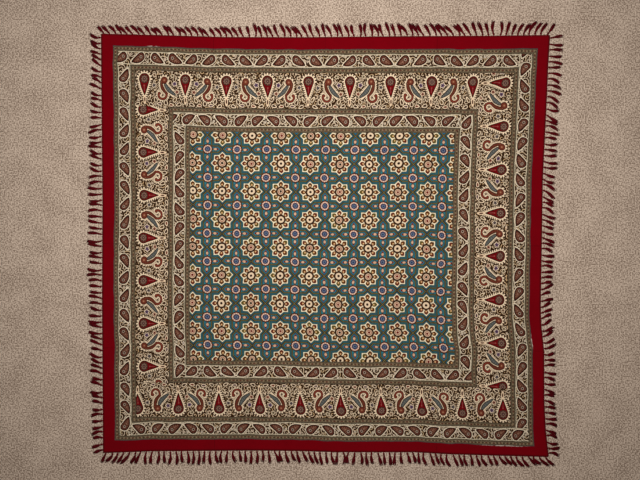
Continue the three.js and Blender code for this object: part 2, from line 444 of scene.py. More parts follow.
def scattered(x, y, size, kind):
    """How far a place is from the nearest of scattered points, both ways, and that point's own chance."""
    place = x.node("ShaderNodeCombineXYZ", {}, {0: x + 517.0 * kind, 1: y})
    settings = {"voronoi_dimensions": "2D"}
    found = x.node("ShaderNodeTexVoronoi", settings, {"Vector": place, "Scale": 1 / size}, "Position")
    tint = Amount(found.socket.node.outputs["Color"])
    own = x.node("ShaderNodeSeparateColor", {}, {0: tint})
    off = x.node("ShaderNodeVectorMath", {"operation": "SUBTRACT"}, {0: place, 1: found})
    return [x.node("ShaderNodeSeparateXYZ", {}, {0: off}, axis) for axis in "XY"] + [own]


def drop_edge(across, along, radius, reach):
    """A drop, round about its own middle and drawn out to a point: the distance to its edge,
    and how far round that edge a place is."""
    slope = radius / reach
    lean = math.sqrt(1 - slope * slope)
    wide = abs(across)
    pointed = (along * lean - wide * slope) > 0
    cone = wide * lean + along * slope - radius
    bulb = length(across, along) - radius
    edge = bulb + (cone - bulb) * pointed
    bulb_round = wide.math("ARCTAN2", -along) * radius
    return edge, bulb_round + (along - bulb_round) * pointed


def leaf_edge(across, along, radius, reach):
    """A leaf, round at its foot and drawn in full curves to a point: the distance to its edge."""
    foot = length(across, along)
    blunt = length(across, along * (radius / reach))
    blade = (abs(across) + along * along * (radius / reach**2) + blunt) * 0.5
    return foot + (blade - foot) * (along > 0) - radius


def petal_edge(across, along, half_width, bend):
    """A slim petal, pointed at both ends: the distance to its edge."""
    return across - half_width + along * along * bend


# The field: where its stars stand, and how far out from a star's middle the strapwork runs.
COLUMN_FIRST, COLUMN_PITCH = -303.0, 68.75
ROW_FIRST, ROW_PITCH = 257.2, 65.7
STRAP_STRAIGHT, STRAP_TIP = 25.2, 34.4
STRAP_WIDTH, STRAP_CORE = 4.0, 0.9
TEAL, BLUER_TEAL, DEEP_BLUE = (46, 126, 134), (36, 92, 134), (30, 72, 128)
STRAP_BROWN, STRAP_GOLD = (52, 42, 22), (136, 122, 72)

# The small rosettes between four stars, with a bud on each of their four sides.
BUD_MIDDLE, BUD_HALF_WIDTH, BUD_BEND = 18.8, 2.5, 0.12
BUD_LINE, BUD_RIM, BUD_PINK, BUD_VEIN = (70, 66, 44), (76, 22, 24), (236, 190, 150), (150, 80, 56)
STALK_REACH, STALK_RED = 26, (98, 34, 28)
BERRY_PLACE, BERRY_RADIUS, BERRY_RED = 24.0, 2.0, (118, 26, 28)
ROSETTE_RIM = ((12.5, (44, 36, 24)), (10.9, (104, 34, 30)), (9.9, (176, 124, 104)))
ROSETTE_BEADS, BEAD_RING, BEAD_SIZE, BEAD_CREAM = 12, 8.2, 0.7, (238, 210, 182)
ROSETTE_EYE = ((6.6, (70, 40, 54)), (5.9, (42, 54, 92)))
EYE_RING, EYE_RING_GREY = 3.0, (140, 152, 154)

# The stars, each with eight petals about a round middle.
STAR_LINE, STAR_LINE_OLIVE = 21.6, (58, 50, 28)
STAR_BODY = ((19.8, (48, 40, 22)), (18.4, (253, 236, 198)))
STAR_VALLEY = 16.6
PETAL_MIDDLE, PETAL_HALF_WIDTH, PETAL_BEND = 16.6, 5.3, 0.13
PETAL_LINE, PETAL_BROWN = (150, 116, 74), (98, 54, 22)
PETAL_RED, PETAL_OLIVE = (104, 42, 24), (98, 80, 34)
PETAL_SIDE = 9
SPOT_PLACE, SPOT_RADIUS, SPOT_BUFF = 15.0, 1.8, (232, 184, 128)
STAR_EYE = ((11.6, (56, 34, 20)), (7.4, (236, 206, 170)))
EYE_ROSE_RING, EYE_ROSE = 5.2, (150, 74, 56)
PUPIL_RADIUS, PUPIL_BROWN, PUPIL_RED = 3.0, (52, 34, 24), (112, 32, 28)


def field_rosettes(colour, x, y):
    """The small beaded rosettes and their buds, laid over the strapwork."""
    rosette_x = repeat(x, COLUMN_FIRST + COLUMN_PITCH / 2, COLUMN_PITCH)
    rosette_y = repeat(y, ROW_FIRST - ROW_PITCH / 2, ROW_PITCH)
    far, near = abs(rosette_x).most(abs(rosette_y)), abs(rosette_x).least(abs(rosette_y))
    bud = petal_edge(near, far - BUD_MIDDLE, BUD_HALF_WIDTH, BUD_BEND)
    colour = dyed(colour, stroke(bud - 3.0, 1.1), BUD_LINE)
    colour = dyed(colour, ink(bud - 1.3), BUD_RIM)
    colour = dyed(colour, stroke(near, 1.8) * (far < STALK_REACH), STALK_RED)
    colour = dyed(colour, ink(bud), BUD_PINK)
    colour = dyed(colour, stroke(near, 0.8) * ink(bud), BUD_VEIN)
    colour = dyed(colour, ink(length(far - BERRY_PLACE, near) - BERRY_RADIUS), BERRY_RED)
    out = length(rosette_x, rosette_y)
    beads = (rosette_x.math("ARCTAN2", rosette_y) * ROSETTE_BEADS).math("COSINE")
    colour = layered(colour, out, ROSETTE_RIM)
    beaded = ink(abs(out - BEAD_RING) - BEAD_SIZE - beads * BEAD_SIZE)
    colour = layered(dyed(colour, beaded, BEAD_CREAM), out, ROSETTE_EYE)
    return dyed(colour, stroke(out - EYE_RING, 1.8) * (beads > 0), EYE_RING_GREY)


def star_field(x, y):
    """The teal field: eight-pointed stars in rows, with strapwork and small rosettes between them."""
    star_x, star_y = repeat(x, COLUMN_FIRST, COLUMN_PITCH), repeat(y, ROW_FIRST, ROW_PITCH)
    wide, tall = abs(star_x), abs(star_y)
    crossing = length(wide - COLUMN_PITCH / 2, tall).least(length(wide, tall - ROW_PITCH / 2))
    colour = dyed(TEAL, mottle(x, y, 7.0, 2.0, 3).ramp(0.38, 0.66) * 0.5, BLUER_TEAL)
    colour = dyed(colour, crossing.ramp(9, 4) * 0.6, DEEP_BLUE)
    straight, slanted = wide.most(tall), (wide + tall) * math.sqrt(0.5)
    strap = (straight - STRAP_STRAIGHT).least(slanted - STRAP_TIP * math.sqrt(0.5))
    colour = dyed(colour, stroke(strap, STRAP_WIDTH), STRAP_BROWN)
    colour = dyed(colour, stroke(strap, STRAP_CORE), STRAP_GOLD)
    colour = field_rosettes(colour, x, y)

    star = straight.least(slanted)
    colour = dyed(colour, stroke(star - STAR_LINE, 1.4), STAR_LINE_OLIVE)
    colour = layered(colour, star, STAR_BODY)
    out = length(wide, tall)
    reach = straight.most(slanted)
    side = (out * out - reach * reach).most(0).math("SQRT")
    petal = petal_edge(side, reach - PETAL_MIDDLE, PETAL_HALF_WIDTH, PETAL_BEND)
    colour = dyed(colour, stroke(petal - 1.7, 0.6) * (star < STAR_VALLEY), PETAL_LINE)
    column, row = which(x, COLUMN_FIRST, COLUMN_PITCH), which(y, ROW_FIRST, ROW_PITCH)
    petal_column = column * 4 + (star_x > PETAL_SIDE) - (star_x < -PETAL_SIDE)
    petal_row = row * 4 + (star_y > PETAL_SIDE) - (star_y < -PETAL_SIDE)
    tint = chance(petal_column, petal_row)
    tone = dyed(dyed(PETAL_BROWN, tint < 0.34, PETAL_RED), tint > 0.84, PETAL_OLIVE)
    colour = dyed(colour, ink(petal), tone)
    colour = dyed(colour, ink(length(reach - SPOT_PLACE, side) - SPOT_RADIUS), SPOT_BUFF)
    colour = layered(colour, out, STAR_EYE)
    own = chance(column, row)
    colour = dyed(colour, stroke(out - EYE_ROSE_RING, 1.8) * (own > 0.45), EYE_ROSE)
    return dyed(colour, ink(out - PUPIL_RADIUS), dyed(PUPIL_BROWN, own > 0.6, PUPIL_RED))


# The scrolls of the borders' ground, and the florets scattered among them in four tones.
SCROLL_CELL, SCROLL_PITCH, SCROLL_HALF_WIDTH = 14.0, 5.6, 2.12
SCROLL_BROWN = (54, 32, 14)
FLORET_CELL, FLORET_SHARE = 8.0, 0.44
FLORET_BROWN, FLORET_RED = (50, 34, 24), (112, 40, 34)
FLORET_GREEN, FLORET_VIOLET = (76, 84, 66), (84, 74, 96)


def scroll_ground(x, y):
    """The cream ground of the borders, filled with dark scrolls and small florets."""
    off_x, off_y, own = scattered(x, y, SCROLL_CELL, 1)
    turn = off_y.math("ARCTAN2", off_x) * (1 - 2 * (own > 0.5)) / (2 * math.pi)
    coil = length(off_x, off_y) / SCROLL_PITCH + turn + own * 3
    colour = dyed(CREAM, mottle(x, y, 12.0, 2.0, 8).ramp(0.46, 0.62) * 0.6, OCHRE)
    scroll = abs(repeat(coil, 0.5, 1.0)) * SCROLL_PITCH - SCROLL_HALF_WIDTH
    colour = dyed(colour, ink(scroll), SCROLL_BROWN)
    off_x, off_y, own = scattered(x, y, FLORET_CELL, 5)
    out, is_floret = length(off_x, off_y), own < FLORET_SHARE
    colour = dyed(colour, ink(out - 3.2) * is_floret, DARK)
    colour = dyed(colour, ink(out - 2.4) * is_floret, PALE)
    tone = dyed(FLORET_BROWN, own > 0.16, FLORET_RED)
    tone = dyed(dyed(tone, own > 0.26, FLORET_GREEN), own > 0.37, FLORET_VIOLET)
    return dyed(colour, ink(out - 1.2) * is_floret, tone)


# The guard stripes between the borders, with a lozenge at each step.
GUARD_HALF_WIDTH = 6.0
GUARD_OLIVE, GUARD_BUFF, GUARD_LINE = (112, 94, 70), (160, 138, 110), (58, 46, 32)
LOZENGE_PITCH, LOZENGE_HALF_DEPTH = 8.4, 2.0
LOZENGE_BROWN, LOZENGE_RED, LOZENGE_DOT = (70, 50, 36), (94, 52, 40), (168, 142, 102)
OUTER_RIM, OUTER_RIM_BROWN, OUTER_RIM_VIOLET = 4.6, (56, 46, 38), (62, 46, 56)
INNER_RIM, INNER_RIM_BROWN = 4.8, (56, 46, 34)


def guard_stripe(along, across, is_outermost):
    """A narrow olive stripe of small lozenges between dark edge lines."""
    ragged = mottle(along, across, 3.5, 1.0, 2).ramp(0.35, 0.7) * 0.6
    colour = dyed(GUARD_OLIVE, ragged, GUARD_BUFF)
    colour = dyed(colour, stroke(abs(across) - 3.3, 1.2), GUARD_LINE)
    step = abs(repeat(along, 0, LOZENGE_PITCH))
    tone = dyed(LOZENGE_BROWN, which(along, 0, LOZENGE_PITCH) % 2, LOZENGE_RED)
    colour = dyed(colour, ink(step * 0.5 + abs(across) - LOZENGE_HALF_DEPTH), tone)
    colour = dyed(colour, ink(length(step - LOZENGE_PITCH / 2, across) - 0.9), LOZENGE_DOT)
    rim_tone = dyed(OUTER_RIM_BROWN, is_outermost, OUTER_RIM_VIOLET)
    colour = dyed(colour, ink(across + OUTER_RIM), rim_tone)
    return dyed(colour, ink(INNER_RIM - across), INNER_RIM_BROWN)


# The small paisleys of the narrow borders: their spacing, the way each leans, and their own size.
NARROW_PITCH, NARROW_LINES = 40.5, 13.7
LEAN_ALONG, LEAN_DEEP = 0.76, 0.65
PAISLEY_RADIUS, PAISLEY_REACH, PAISLEY_BEND = 8.0, 21.5, 0.012
PAISLEY_BODY = ((3.2, PALE), (1.8, (44, 24, 12)), (-0.6, (92, 42, 32)))
PAISLEY_VEIN = (136, 104, 78)
PAISLEY_EYE, PAISLEY_EYE_RING, EYE_BROWN, EYE_BUFF = 4.0, 2.6, (56, 32, 28), (196, 168, 144)
PAISLEY_SPOTS = ((8.6, 1.4, (164, 112, 94)), (13.4, 1.0, (150, 96, 78)))
LINE_CREAM = (216, 200, 168)


def narrow_border(along, depth, ground):
    """Small bent paisleys on the scroll ground, leaning two one way and then two the other."""
    pair = mirrored(along, 2 * NARROW_PITCH)
    step = repeat(pair, NARROW_PITCH / 2, NARROW_PITCH)
    reach = step * LEAN_ALONG + depth * LEAN_DEEP + 5.0
    side = depth * LEAN_ALONG - step * LEAN_DEEP - 1.0 + (reach - 4) * (reach - 4) * PAISLEY_BEND
    edge = leaf_edge(side, reach, PAISLEY_RADIUS, PAISLEY_REACH)
    colour = layered(ground, edge, PAISLEY_BODY)
    veins = stroke(repeat(reach - abs(side) * 0.7, 1.2, 4.6), 1.5)
    colour = dyed(colour, ink(edge + 1.6) * veins, PAISLEY_VEIN)
    middle = length(side, reach)
    colour = dyed(colour, ink(middle - PAISLEY_EYE), EYE_BROWN)
    colour = dyed(colour, stroke(middle - PAISLEY_EYE_RING, 1.1), EYE_BUFF)
    for place, radius, tone in PAISLEY_SPOTS:
        colour = dyed(colour, ink(length(side, reach - place) - radius), tone)
    return dyed(colour, stroke(abs(depth) - NARROW_LINES, 1.5), LINE_CREAM)


# The wide border's motifs, by their places along it from one drop to the next and their depths in it.
MAIN_PITCH = 95.0
HEAD = {"along": 49.5, "depth": 20.5, "radius": 6.6}
HOOK = {"along": 53.0, "depth": 54.5, "radius": 9.4, "half_width": 1.3, "open_turn": 1.15, "open_size": 9}
HOOK_BALL = {"along": 7.4, "depth": -3.6, "radius": 2.1}
NECK = {
    "along": 56.0, "depth": 24, "way": (-0.43, 0.90), "reach": 29, "half_width": 3.1,
    "bow": 3.8, "bow_at": 14.5, "bend": 0.018, "fullest_at": 14, "taper": 0.09,
}
WING = {
    "along": 46.5, "depth": 31, "way": (-0.69, 0.72), "reach": 30, "half_width": 4.0,
    "bow": 2, "bow_at": 15, "bend": 0.012, "fullest_at": 13, "taper": 0.13,
}
CURL_COMB = {"along": 48, "depth": 42, "radius": 23}
WING_GREY, WING_VEIN = (84, 88, 88), (124, 126, 116)
NECK_BROWN, NECK_DOT, HOOK_BROWN = (104, 50, 36), (196, 150, 108), (126, 56, 42)
HEAD_BROWN, HEAD_ROSE, HEAD_BUFF = (104, 48, 36), (126, 66, 46), (176, 126, 98)
FLOWERS = (
    {"along": 25, "depth": 28, "radius": 5.2, "tint": (96, 76, 104)},
    {"along": 20, "depth": 47, "radius": 4.4, "tint": (134, 78, 64)},
    {"along": 73, "depth": 33, "radius": 4.8, "tint": (92, 84, 86)},
    {"along": 77, "depth": 54, "radius": 4.0, "tint": (110, 84, 60)},
    {"along": 31, "depth": 10, "radius": 3.6, "tint": (92, 84, 56)},
    {"along": 72, "depth": 11, "radius": 3.6, "tint": (120, 84, 58)},
)

# The leaves and buds along the foot of the wide border, from one drop's stem to the next.
BUDS = (
    {"along": 9, "depth": 62, "radius": 2.0, "reach": 8, "turn": 148, "tint": (74, 52, 34)},
    {"along": 13, "depth": 74, "radius": 2.6, "reach": 7, "turn": 70, "tint": (62, 42, 30)},
    {"along": 25, "depth": 66, "radius": 2.8, "reach": 7, "turn": 205, "tint": (96, 74, 48)},
    {"along": 34, "depth": 75, "radius": 2.2, "reach": 6, "turn": -80, "tint": (110, 50, 38)},
    {"along": 45, "depth": 72, "radius": 3.0, "reach": 6, "turn": 180, "tint": (66, 46, 32)},
    {"along": 57, "depth": 75, "radius": 2.2, "reach": 7, "turn": 95, "tint": (88, 66, 74)},
    {"along": 68, "depth": 68, "radius": 2.8, "reach": 8, "turn": 160, "tint": (70, 50, 34)},
    {"along": 81, "depth": 75, "radius": 2.4, "reach": 7, "turn": -65, "tint": (62, 42, 30)},
    {"along": 86, "depth": 63, "radius": 2.0, "reach": 8, "turn": 212, "tint": (94, 72, 46)},
)
DROP = {"depth": 19.5, "radius": 11.6, "reach": 36}
DROP_BODY = ((1.0, DARK), (-1.2, (120, 6, 16)))
DROP_LINE, DROP_DOT, DROP_RIB = (66, 22, 20), (150, 78, 70), (160, 84, 80)
DROP_FLOWER, DROP_FLOWER_BROWN, DROP_PETALS, DROP_PETAL_BUFF = 9.4, (70, 44, 36), 8, (128, 100, 86)
DROP_EYE = ((3.4, (66, 40, 42)), (1.3, (160, 128, 112)))
STEM_BODY = ((8.0, CREAM), (4.0, (76, 40, 30)))


def comb(colour, edge, around, start, width, tooth):
    """A light ring about a shape, with short light teeth standing out from it on the dark."""
    colour = dyed(colour, ink(edge - start - width - 1.6), DARK)
    teeth = stroke(repeat(around, 0, tooth), tooth * 0.5) * ink(edge - start - width)
    return dyed(colour, teeth.most(ink(edge - start - 1.6)), PALE)


def bar_edge(pair, depth, bar):
    """A slim bowed bar, tapered both ways: the distance to its edge, and how far along it a place is."""
    x, y = pair - bar["along"], depth - bar["depth"]
    way_x, way_y = bar["way"]
    run = (x * way_x + y * way_y).most(0).least(bar["reach"])
    bow = (run - bar["bow_at"]) * (run - bar["bow_at"]) * bar["bend"] - bar["bow"]
    edge = length(x - run * way_x + bow, y - run * way_y) - bar["half_width"]
    return edge + abs(run - bar["fullest_at"]) * bar["taper"], run


def curled_paisley(colour, pair, depth):
    """A combed paisley: a round head, a bowed neck that ends in a hook, and a grey wing beside it."""
    head_x, head_y = pair - HEAD["along"], depth - HEAD["depth"]
    head = length(head_x, head_y) - HEAD["radius"]
    hook_x, hook_y = pair - HOOK["along"], depth - HOOK["depth"]
    hook_end = (HOOK["open_turn"] - abs(hook_x.math("ARCTAN2", -hook_y))) * HOOK["open_size"]
    hook = (abs(length(hook_x, hook_y) - HOOK["radius"]) - HOOK["half_width"]).most(hook_end)
    ball = length(hook_x - HOOK_BALL["along"], hook_y - HOOK_BALL["depth"]) - HOOK_BALL["radius"]
    hook = hook.least(ball)
    neck, neck_run = bar_edge(pair, depth, NECK)
    wing, wing_run = bar_edge(pair, depth, WING)
    whole = head.least(hook).least(wing).least(neck)
    around = (depth - CURL_COMB["depth"]).math("ARCTAN2", pair - CURL_COMB["along"])
    colour = comb(colour, whole, around * CURL_COMB["radius"], 1.6, 4.4, 4.7)
    colour = dyed(colour, ink(whole - 1.7), DARK)
    colour = dyed(colour, ink(wing - 0.3), WING_GREY)
    veins = stroke(repeat(wing_run, 0, 5.4), 1.6)
    colour = dyed(colour, ink(wing + 1.4) * veins, WING_VEIN)
    colour = dyed(colour, ink(neck - 0.4), NECK_BROWN)
    dots = stroke(repeat(neck_run, 0, 5.0), 2.0)
    colour = dyed(colour, ink(neck + 1.5) * dots, NECK_DOT)
    colour = dyed(colour, ink(hook - 0.5), HOOK_BROWN)
    colour = dyed(colour, ink(head - 0.6), HEAD_BROWN)
    petals = (head_y.math("ARCTAN2", head_x) * 6).math("COSINE")
    colour = dyed(colour, ink(head + 2.6 - petals * 0.9), HEAD_ROSE)
    return dyed(colour, ink(head + 4.8), HEAD_BUFF)


def flowers_and_buds(colour, pair, depth):
    """The five-petalled flowers between the drops, and the leaves and buds along the border's foot."""
    for flower in FLOWERS:
        off_x, off_y = pair - flower["along"], depth - flower["depth"]
        out = length(off_x, off_y) - flower["radius"]
        petals = (off_y.math("ARCTAN2", off_x) * 5).math("COSINE")
        colour = layered(colour, out - petals, ((2.6, DARK), (0.9, PALE), (-0.7, flower["tint"])))
        colour = dyed(colour, ink(out + flower["radius"] - 1.3), DARK)
    for bud in BUDS:
        turn = math.radians(bud["turn"])
        off_x, off_y = pair - bud["along"], depth - bud["depth"]
        wide = off_x * math.cos(turn) - off_y * math.sin(turn)
        tall = off_x * math.sin(turn) + off_y * math.cos(turn)
        edge = leaf_edge(wide, tall, bud["radius"], bud["reach"])
        colour = layered(colour, edge, ((3.0, DARK), (1.5, PALE), (0, bud["tint"])))
    return colour


def combed_drop(colour, pair, depth):
    """A great red drop with a flower in its round end, a light comb about it and a short stem."""
    half, inward = repeat(pair, 0, MAIN_PITCH), depth - DROP["depth"]
    edge, around = drop_edge(half, inward, DROP["radius"], DROP["reach"])
    colour = comb(colour, edge, around, 1.5, 5.2, 4.6)
    colour = layered(colour, edge, DROP_BODY)
    colour = dyed(colour, stroke(edge + 3.6, 0.8) * (inward > 8), DROP_LINE)
    out = length(half, inward)
    petals = (half.math("ARCTAN2", inward) * DROP_PETALS).math("COSINE")
    colour = dyed(colour, ink(out - DROP_FLOWER) * ink(edge + 1.2), DROP_FLOWER_BROWN)
    colour = dyed(colour, ink(out - 6.6 - petals), DROP_PETAL_BUFF)
    colour = layered(colour, out, DROP_EYE)
    colour = dyed(colour, ink(length(half, inward - 14) - 1.7), DROP_DOT)
    colour = dyed(colour, stroke(half, 1.0) * (inward > 15) * (inward < 26), DROP_RIB)
    stem = length(half * 2.4, (inward - 45.5) * 0.8)
    return layered(colour, stem, STEM_BODY)


def main_border(along, depth, ground):
    """The wide border: combed red drops, with a curled paisley and small flowers between each two."""
    pair = mirrored(along, MAIN_PITCH)
    colour = curled_paisley(ground, pair, depth)
    return combed_drop(flowers_and_buds(colour, pair, depth), pair, depth)


# Where each side's blocks were set down: how far in from its edge and how much stretched, its first drop
# and their spacing, and for its outer and inner narrow borders a mirror line between paisleys and their
# spacing. Odd sides start with the curled paisleys facing the other way.
SIDES = (
    {"name": "bottom", "inset": 27.6, "stretch": 1.0043, "drop": -432.8, "drop_pitch": 94.67, "is_odd": 1,
     "outer": -88.8, "outer_pitch": 40.1, "inner": -122.9, "inner_pitch": 40.8},
    {"name": "right", "inset": 24.6, "stretch": 1.0174, "drop": 381.4, "drop_pitch": -100.33, "is_odd": 0,
     "outer": -38.6, "outer_pitch": 43.2, "inner": 97.0, "inner_pitch": 42.5},
    {"name": "top", "inset": 24.3, "stretch": 0.9536, "drop": -415.7, "drop_pitch": 95.01, "is_odd": 1,
     "outer": -244.5, "outer_pitch": 40.6, "inner": -214.0, "inner_pitch": 40.2},
    {"name": "left", "inset": 27.3, "stretch": 1.0480, "drop": 313.0, "drop_pitch": -99.8, "is_odd": 1,
     "outer": 26.7, "outer_pitch": 42.6, "inner": 59.3, "inner_pitch": 41.6},
)

# How deep in from the edge each band starts, ends or has its middle.
PRINT_START = 25.0
OUTER_MIDDLE, OUTER_END = 51.7, 66.7
MAIN_START, MAIN_END = 78.4, 158.4
INNER_START, INNER_MIDDLE, INNER_END = 170.6, 185.2, 199.8
FIELD_START = 212.0
GUARD_MIDDLES = (30.85, 72.55, 164.5, 205.9)
GUARD_PARTINGS = (60, 150, 190)
BORDER_WASH = (255, 248, 240)
EDGE_RED = (122, 0, 12)
BARE_COTTON = (214, 196, 180)

# Slivers of bare cloth, where the first block was set down a little inside the red.
UNPRINTED = (
    {"side": "top", "middle": -396, "reach": 15, "width": 0.9},
    {"side": "right", "middle": -216, "reach": 18, "width": 0.9},
    {"side": "bottom", "middle": 415, "reach": 60, "width": 0.8},
)


def choose(masks, values):
    """The value of the first side whose mask is one, else the last side's."""
    chosen = values[-1]
    for mask, value in reversed(list(zip(masks, values))):
        chosen = chosen + (value - chosen) * mask
    return chosen


def whole_print(x, y):
    """The whole printed face: how deep a place is from each edge decides which band it is in."""
    ways = (x, y, x, y)
    from_edges = (y + CLOTH_DEPTH / 2, CLOTH_WIDTH / 2 - x, CLOTH_DEPTH / 2 - y, x + CLOTH_WIDTH / 2)
    depths = [
        (from_edge - side["inset"]) * side["stretch"] + PRINT_START
        for from_edge, side in zip(from_edges, SIDES)
    ]
    depth = depths[0].least(depths[1]).least(depths[2]).least(depths[3])
    ground = scroll_ground(x, y)

    in_main = [side_depth < MAIN_END for side_depth in depths[:3]]
    along = choose(in_main, [
        (way - side["drop"]) * (MAIN_PITCH / side["drop_pitch"]) + MAIN_PITCH * side["is_odd"]
        for way, side in zip(ways, SIDES)
    ])
    wide_band = main_border(along, choose(in_main, depths) - MAIN_START, ground)
    colour = glazed(wide_band, BORDER_WASH)

    is_inner = depth > MAIN_END + GUARD_HALF_WIDTH
    narrow_end = OUTER_END + is_inner * (INNER_END - OUTER_END)
    in_bottom, in_right, in_top, in_left = (side_depth < narrow_end for side_depth in depths)
    in_narrow = [in_bottom * (1 - in_left), in_right, in_top]
    outer_along, inner_along = (
        choose(in_narrow, [
            (way - side[band]) * (NARROW_PITCH / side[f"{band}_pitch"]) for way, side in zip(ways, SIDES)
        ])
        for band in ("outer", "inner")
    )
    along = outer_along + (inner_along - outer_along) * is_inner
    narrow_middle = OUTER_MIDDLE + is_inner * (INNER_MIDDLE - OUTER_MIDDLE)
    narrow_depth = (choose(in_narrow, depths) - narrow_middle) * (1 - 2 * is_inner)
    narrow = narrow_border(along, narrow_depth, ground)
    colour = dyed(colour, (depth < OUTER_END).most(depth > INNER_START), narrow)

    middle = GUARD_MIDDLES[0]
    for parting, before, after in zip(GUARD_PARTINGS, GUARD_MIDDLES, GUARD_MIDDLES[1:]):
        middle = (depth > parting) * (after - before) + middle
    nearest = [(side_depth - depth) < 0.001 for side_depth in depths[:3]]
    guard = guard_stripe(choose(nearest, ways), depth - middle, depth < GUARD_PARTINGS[0])
    colour = dyed(colour, abs(depth - middle) < GUARD_HALF_WIDTH, guard)
    colour = dyed(colour, depth > FIELD_START, star_field(x, y))
    colour = dyed(colour, depth < PRINT_START, EDGE_RED)
    names = [side["name"] for side in SIDES]
    for gap in UNPRINTED:
        side = names.index(gap["side"])
        off = (ways[side] - gap["middle"]) / gap["reach"]
        bare = ink(abs(depths[side] - PRINT_START) - gap["width"] * (1 - off * off))
        colour = dyed(colour, bare * mottle(x, y, 9.0, 2.0, 12).ramp(0.35, 0.6), BARE_COTTON)
    return colour


# The whole print sits a little low on the cloth, slightly turned, and short of the lower right corner.
SET_OFF_X, SET_OFF_Y, SET_TURN = 0.9, 3.3, 0.0045
CORNER_OFF, CORNER_FROM, CORNER_TO = 5.0, (150, -360), (450, -480)
WANDER, WANDER_SIZE = 4.4, 45.0
TREMBLE_SIZE = 3.0

# The plain weave, the painted shade line along each crease, and the stitches that hold the fringe's tape.
THREAD_PITCH, SLUB_DRAW = 0.8, 14
WEAVE_RELIEF = 0.00012
CREASE_SHADE_WIDTH = 1.6
STITCH_INSET, STITCH_PITCH, STITCH_LENGTH, STITCH_WIDTH = 2.4, 3.6, 2.5, 0.7


def unsteady(x, y, kind):
    """How far a block set down by hand is off its mark, in mm: a slow wander and a small tremble."""
    wander = (mottle(x, y, WANDER_SIZE, 1.0, kind) - 0.5) * WANDER
    return wander + (mottle(x, y, TREMBLE_SIZE, 1.0, kind + 2) - 0.5)


printed_cotton, shader = finish_of("printed cotton", 0.95, 0.02)
flat_x, flat_y, _ = place_of(shader, "flat")
near_corner = flat_x.ramp(CORNER_FROM[0], CORNER_TO[0]) * flat_y.ramp(CORNER_FROM[1], CORNER_TO[1])
printed = whole_print(
    flat_x + unsteady(flat_x, flat_y, 1) + SET_OFF_X + near_corner * CORNER_OFF,
    flat_y + unsteady(flat_x, flat_y, 2) + flat_x * SET_TURN + SET_OFF_Y,
)
worn = 0.9 + 0.2 * mottle(flat_x, flat_y, 60.0, 3.0, 9)
slub = mottle(flat_x / SLUB_DRAW, flat_y, THREAD_PITCH, 0.0, 6)
slub = slub + mottle(flat_x, flat_y / SLUB_DRAW, THREAD_PITCH, 0.0, 7)
# Painted shade: a thin dark line along each crease, broken up by a mottle, darkens the colour where the
# fold would lie in shade.
creased = 0.0
for crease in CREASES:
    way, size = (flat_y, CLOTH_DEPTH) if crease["along"] == "x" else (flat_x, CLOTH_WIDTH)
    creased = stroke(way - (crease["at"] - 0.5) * size, CREASE_SHADE_WIDTH).most(creased)
creased = creased * mottle(flat_x, flat_y, 40.0, 2.0, 11).ramp(0.35, 0.6)
inset_x, inset_y = CLOTH_WIDTH / 2 - abs(flat_x), CLOTH_DEPTH / 2 - abs(flat_y)
along_edge = flat_x + (flat_y - flat_x) * (inset_x < inset_y)
stitches = stroke(inset_x.least(inset_y) - STITCH_INSET, STITCH_WIDTH)
stitches = stitches * stroke(repeat(along_edge, 0, STITCH_PITCH), STITCH_LENGTH)
# The colour's factor: a random wear mottle, the slub of the weave, the painted crease shade, and the
# darker stitches.
shade = worn * (0.86 + slub * 0.14) * (1 - 0.25 * creased) * (1 - 0.3 * stitches)
feed(shader, "Base Color", shaded(printed, shade))
warp = (flat_x * (math.pi / THREAD_PITCH)).math("SINE")
weft = (flat_y * (math.pi / THREAD_PITCH)).math("SINE")
bumped(shader, warp * weft + slub * 0.8 + stitches * 2.0, WEAVE_RELIEF)
cloth.data.materials.append(printed_cotton)
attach(cloth, "root")
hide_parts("cloth")

# The fringe: along each edge a narrow woven tape is sewn under the cloth's rim, with short tassels of
# two-ply dark red cotton in it, twisted for two fifths of their length and brushed out to a tuft.

# Where a tassel starts, how far past its measured length it runs, and how the tassels are spaced.
TASSEL_START, TASSEL_END = -0.5, 3.9
TASSEL_PITCH = 13.4
FIRST_TASSEL = 7
LEAST_TIP_SPACING = 7.6

# How unalike they are: in length, in lean, in where the tip lies and in how much they curl.
LENGTH_SPREAD = 0.12
LEAN_SPREAD = 9
STRAY = 3.2
CURL = 3.6
BEND = 1.5

# How long the tassels are, in mm, at a share of the way along each edge.
LENGTHS = {
    "left": {"at": (0, 0.2, 0.35, 0.65, 0.85, 1), "length": (21, 23, 27.5, 27.5, 24, 22)},
    "right": {"at": (0, 0.35, 0.6, 1), "length": (21.5, 22.5, 26, 27)},
    "bottom": {"at": (0, 0.6, 1), "length": (25.5, 24.5, 22.5)},
    "top": {"at": (0, 0.35, 0.6, 1), "length": (22, 25, 28, 28)},
}

# Which way the tassels lean, in degrees from straight out, at a share of the way along each edge.
LEANS = {
    "left": {
        "at": (0, 0.07, 0.12, 0.22, 0.3, 0.6, 0.7, 0.77, 0.82, 0.93, 1),
        "lean": (-18, -16, 5, 18, 10, 4, 14, -24, 20, 34, 8),
    },
    "right": {
        "at": (0, 0.08, 0.15, 0.22, 0.3, 0.38, 0.45, 0.62, 0.72, 0.84, 0.93, 1),
        "lean": (-4, -8, -20, 0, 26, 22, -6, -34, -8, -28, -8, 4),
    },
    "bottom": {
        "at": (0, 0.06, 0.11, 0.27, 0.34, 0.43, 0.55, 0.7, 0.82, 0.92, 1),
        "lean": (-40, -32, -8, 8, 2, 24, -4, 15, 22, 42, 46),
    },
    "top": {
        "at": (0, 0.1, 0.28, 0.35, 0.44, 0.58, 0.68, 0.82, 0.88, 0.94, 1),
        "lean": (-52, -46, -44, -18, -36, -12, -30, -42, 2, 32, 30),
    },
}

